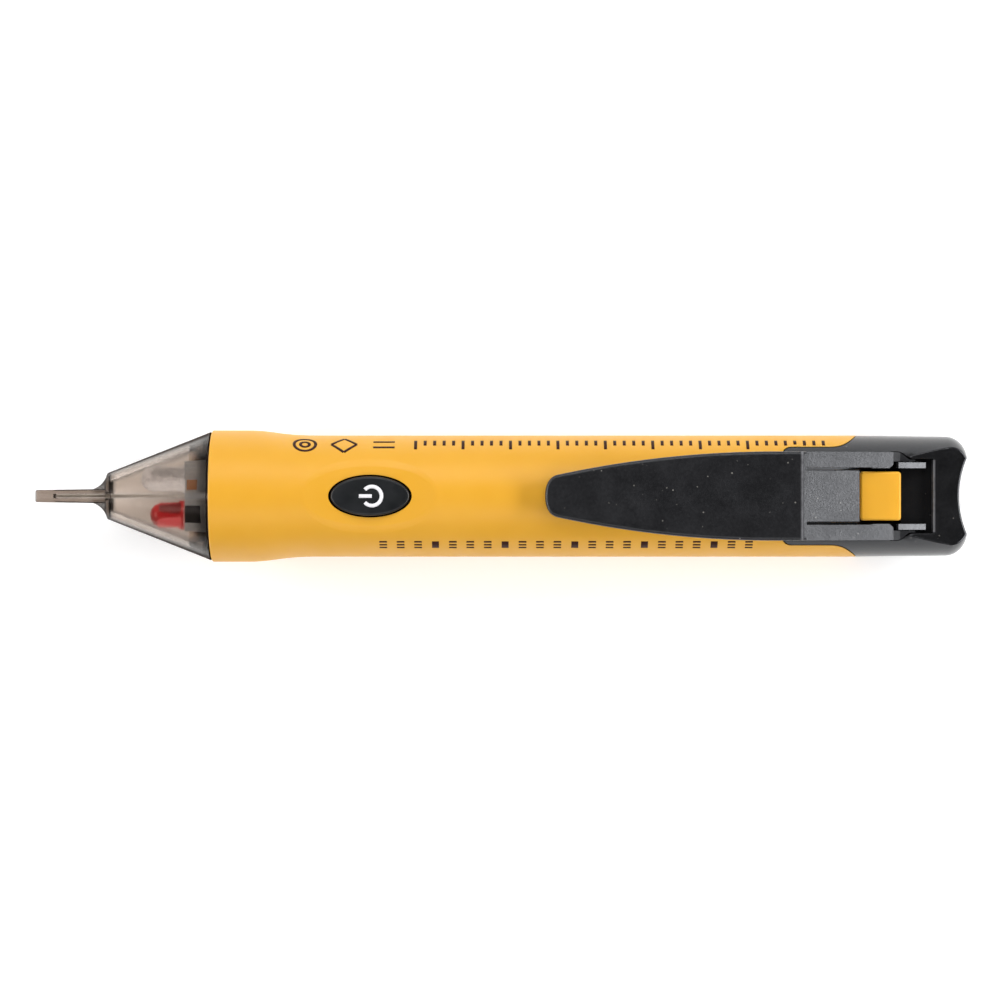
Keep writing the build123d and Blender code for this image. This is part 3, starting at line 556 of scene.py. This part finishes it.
def lower_marks(cast):
    """On the -Y flank: a widely spaced row of triple bars, with a block in place of every fourth."""
    middle = -8.9 * MM
    strokes = []
    for count in range(22):
        x = TIP_X + (55.4 + 2.75 * count) * MM
        if count % 4 == 3:
            path = line_path((x - 0.55 * MM, middle), (x + 0.55 * MM, middle))
            strokes.append(laid_ribbon(cast, path, 0.85 * MM, INK_LIFT))
        else:
            for row in (-0.75, 0, 0.75):
                v = middle + row * MM
                path = line_path((x - 0.6 * MM, v), (x + 0.6 * MM, v))
                strokes.append(laid_ribbon(cast, path, 0.19 * MM, INK_LIFT))
    return strokes


power_symbol()
barrel_cast = cast_round(surface_of("barrel"))
brown_ink = print_ink("brown_ink", (0.035, 0.009, 0.003))
ribbon_piece("print_row_upper", upper_marks(barrel_cast), brown_ink, "barrel")
ribbon_piece("print_row_lower", lower_marks(barrel_cast), brown_ink, "barrel")


# ======================================================================================
# Lead frames inside the two lamps
# ======================================================================================

def add_box(shape, low, high, narrow):
    """A block between two corners, with its -X end drawn in by a share."""
    middle = (low + high) / 2
    corners = []
    for x in (low.x, high.x):
        share = 1 - narrow if x == low.x else 1
        for y in (low.y, high.y):
            for z in (low.z, high.z):
                drawn_in = (x, middle.y + (y - middle.y) * share, middle.z + (z - middle.z) * share)
                corners.append(shape.verts.new(drawn_in))
    for face in ((0, 1, 3, 2), (4, 6, 7, 5), (0, 4, 5, 1), (2, 3, 7, 6), (0, 2, 6, 4), (1, 5, 7, 3)):
        shape.faces.new([corners[i] for i in face])


def lead_frame(name, front, sides, heights, material):
    """One leg of the metal frame that shows through each lamp's epoxy, in both lamps."""
    shape = bmesh.new()
    for node in ("red_led", "green_led"):
        low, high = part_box(node)
        middle = (low + high) / 2
        near = Vector((low.x + front * MM, middle.y + sides[0] * MM, middle.z + heights[0] * MM))
        far = Vector((high.x - 0.5 * MM, middle.y + sides[1] * MM, middle.z + heights[1] * MM))
        add_box(shape, near, far, 0.35)
    bmesh.ops.recalc_face_normals(shape, faces=shape.faces)
    bmesh.ops.bevel(shape, geom=shape.edges[:], offset=0.15 * MM, segments=2, affect="EDGES")
    mesh = bpy.data.meshes.new(name)
    shape.to_mesh(mesh)
    shape.free()
    mesh.materials.append(material)
    piece = bpy.data.objects.new(name, mesh)
    bpy.context.scene.collection.objects.link(piece)
    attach(piece, "barrel")


# One lead frame in two tones: the dark leg is painted shade on the +Y half of each lamp, and the pale
# leg shines with painted light on the -Y half.
PAINTED_SHADE_FRAME = plain_moulding("painted_shade_frame", (0.05, 0.045, 0.045))
lead_frame("led_anvils", 1.6, (0.1, 1.7), (0.2, 0.9), PAINTED_SHADE_FRAME)
PAINTED_GLOW_FRAME = plain_moulding("painted_glow_frame", (0.93, 0.91, 0.90), painted_glow=0.6)
lead_frame("led_posts", 1.4, (-1.75, -0.15), (-0.2, 0.9), PAINTED_GLOW_FRAME)


# ======================================================================================
# Floor, light and camera
# ======================================================================================

def floor_sheet():
    """Pale paper that glows faintly, so that the shadows on it nearly vanish."""
    mesh = bpy.data.meshes.new("floor")
    half = 1.5
    corners = [(-half, -half, 0), (half, -half, 0), (half, half, 0), (-half, half, 0)]
    mesh.from_pydata(corners, [], [(0, 1, 2, 3)])
    floor = bpy.data.objects.new("floor", mesh)
    floor.location.z = -0.0002
    bpy.context.scene.collection.objects.link(floor)
    g = Graph("floor_paper")
    g.set(Specular_IOR_Level=0.2, Roughness=0.8, Emission_Strength=0.22)
    g.shader.inputs["Emission Color"].default_value = (1, 1, 1, 1)
    cloudy = g.ramp(g.noise(3), [(0.3, 0.0), (0.7, 1.0)])
    g.colour(g.mix(cloudy, (0.955, 0.955, 0.955), (0.97, 0.97, 0.97)))
    mesh.materials.append(g.material)


def soft_light(name, place, target, size, watts):
    light = bpy.data.lights.new(name, "AREA")
    light.shape = "RECTANGLE"
    light.size, light.size_y = size
    light.energy = watts
    lamp = bpy.data.objects.new(name, light)
    lamp.location = place
    lamp.rotation_euler = (Vector(target) - Vector(place)).to_track_quat("-Z", "Y").to_euler()
    bpy.context.scene.collection.objects.link(lamp)


def studio():
    """A tent, pale low down and towards +Y and dark overhead, with two softboxes beside the tester
    and one beyond each end."""
    world = bpy.data.worlds.new("studio")
    bpy.context.scene.world = world
    world.use_nodes = True
    tree = world.node_tree
    place = tree.nodes.new("ShaderNodeTexCoord")
    split = tree.nodes.new("ShaderNodeSeparateXYZ")
    tree.links.new(place.outputs["Generated"], split.inputs[0])
    band = tree.nodes.new("ShaderNodeValToRGB")
    tree.links.new(split.outputs["Z"], band.inputs["Fac"])
    lean = tree.nodes.new("ShaderNodeValToRGB")
    for node, stops in ((band, ((0.30, 0.50), (0.75, 0.04))), (lean, ((0.2, 0.5), (0.8, 1.0)))):
        for element, (where, light) in zip(node.color_ramp.elements, stops):
            element.position = where
            element.color = (light, light, light, 1)
    half = tree.nodes.new("ShaderNodeMath")
    half.operation = "MULTIPLY_ADD"
    half.inputs[1].default_value = 0.5
    half.inputs[2].default_value = 0.5
    tree.links.new(split.outputs["Y"], half.inputs[0])
    tree.links.new(half.outputs[0], lean.inputs["Fac"])
    both = tree.nodes.new("ShaderNodeMix")
    both.data_type = "RGBA"
    both.blend_type = "MULTIPLY"
    both.inputs[0].default_value = 1.0
    tree.links.new(band.outputs["Color"], both.inputs[6])
    tree.links.new(lean.outputs["Color"], both.inputs[7])
    tree.links.new(both.outputs[2], tree.nodes["Background"].inputs["Color"])
    tree.nodes["Background"].inputs["Strength"].default_value = 1.0
    middle = (0, 0, AXIS_Z)
    soft_light("key", (0, 0.56, 0.57), middle, (0.9, 0.4), 3.6)
    soft_light("fill", (0, -0.47, 0.66), middle, (0.9, 0.3), 1.95)
    soft_light("nib_end", (-0.72, 0, 0.37), middle, (0.7, 0.25), 4.8)
    soft_light("cap_end", (0.72, 0, 0.37), middle, (0.7, 0.2), 5.8)


def top_camera():
    """Straight down on the barrel, framing a fixed width at the height of its axis."""
    data = bpy.data.cameras.new("camera")
    data.sensor_width = SENSOR_MM
    data.lens = SENSOR_MM * CAMERA_HEIGHT / (FRAMED_WIDTH_MM * MM)
    data.clip_start = 0.01
    camera = bpy.data.objects.new("camera", data)
    camera.location = (-0.16 * MM, -0.62 * MM, AXIS_Z + CAMERA_HEIGHT)
    bpy.context.scene.collection.objects.link(camera)
    bpy.context.scene.camera = camera


floor_sheet()
studio()
top_camera()
bpy.context.scene.view_settings.view_transform = "Standard"
